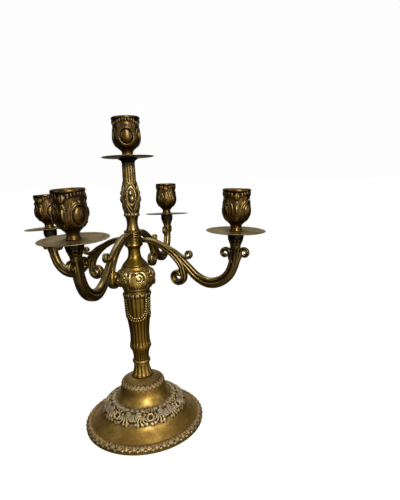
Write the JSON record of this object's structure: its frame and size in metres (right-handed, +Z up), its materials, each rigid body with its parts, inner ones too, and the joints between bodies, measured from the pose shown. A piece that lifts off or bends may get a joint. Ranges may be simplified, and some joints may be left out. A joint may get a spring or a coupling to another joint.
{
  "type": "tabletop candelabra",
  "caption": "Brass tabletop candelabra: stamped round base, fluted column, scrolled crossbars that swivel on a tie rod, and candle cups over drip pans.",
  "frame": {"origin": "centre of the base's underside, on the column's axis, at the level of the surface it stands on", "axes": "+Z up along the column, +X along the lower crossbar's right arm at rest, -Y towards the front"},
  "size_m": [0.3136, 0.31, 0.3648],
  "materials": {
    "base_brass": "aged satin brass, rubbed bright on its smooth bands, dark in its relief",
    "column_brass": "golden olive aged brass with near-black recesses",
    "arm_brass": "brown aged cast brass, brighter along its ridges",
    "cup_brass": "brown aged cast brass, brighter on its raised leaves",
    "pan_brass": "dull grey olive tarnished brass",
    "fastener_steel": "plain dull steel"
  },
  "bodies": {
    "column": {"base_shell": "base_brass", "base_washer": "fastener_steel", "base_nut": "fastener_steel", "tie_rod": "fastener_steel", "column_skirt": "column_brass", "column_ring": "base_brass", "lower_column": "column_brass", "knop": "column_brass", "neck_spool": "column_brass", "spacer_washer": "pan_brass", "stem_washer": "pan_brass", "upper_stem": "column_brass", "top_cup_stud": "fastener_steel", "top_drip_pan": "pan_brass"},
    "lower_arms": {"lower_crossbar": "arm_brass", "right_cup_stud": "fastener_steel", "right_drip_pan": "pan_brass", "left_cup_stud": "fastener_steel", "left_drip_pan": "pan_brass"},
    "upper_arms": {"upper_crossbar": "arm_brass", "front_cup_stud": "fastener_steel", "front_drip_pan": "pan_brass", "back_cup_stud": "fastener_steel", "back_drip_pan": "pan_brass"},
    "right_cup": {"right_candle_cup": "cup_brass"},
    "left_cup": {"left_candle_cup": "cup_brass"},
    "front_cup": {"front_candle_cup": "cup_brass"},
    "back_cup": {"back_candle_cup": "cup_brass"},
    "top_cup": {"top_candle_cup": "cup_brass"}
  },
  "joints": [
    {"name": "lower_arm_swivel", "type": "hinge", "parent": "column", "child": "lower_arms", "pos_m": [0, 0, 0.2266], "axis": [0, 0, 1], "continuous": true},
    {"name": "upper_arm_swivel", "type": "hinge", "parent": "lower_arms", "child": "upper_arms", "pos_m": [0, 0, 0.2338], "axis": [0, 0, 1], "range_deg": [-74, 55]},
    {"name": "right_cup_lift", "type": "slide", "parent": "lower_arms", "child": "right_cup", "axis": [0.0523, 0, 0.9986], "range_m": [0, 0.03]},
    {"name": "left_cup_lift", "type": "slide", "parent": "lower_arms", "child": "left_cup", "axis": [-0.0523, 0, 0.9986], "range_m": [0, 0.03]},
    {"name": "front_cup_lift", "type": "slide", "parent": "upper_arms", "child": "front_cup", "axis": [0.0087, -0.0516, 0.9986], "range_m": [0, 0.03]},
    {"name": "back_cup_lift", "type": "slide", "parent": "upper_arms", "child": "back_cup", "axis": [-0.0087, 0.0516, 0.9986], "range_m": [0, 0.03]},
    {"name": "top_cup_lift", "type": "slide", "parent": "column", "child": "top_cup", "axis": [0, 0, 1], "range_m": [0, 0.03]}
  ]
}
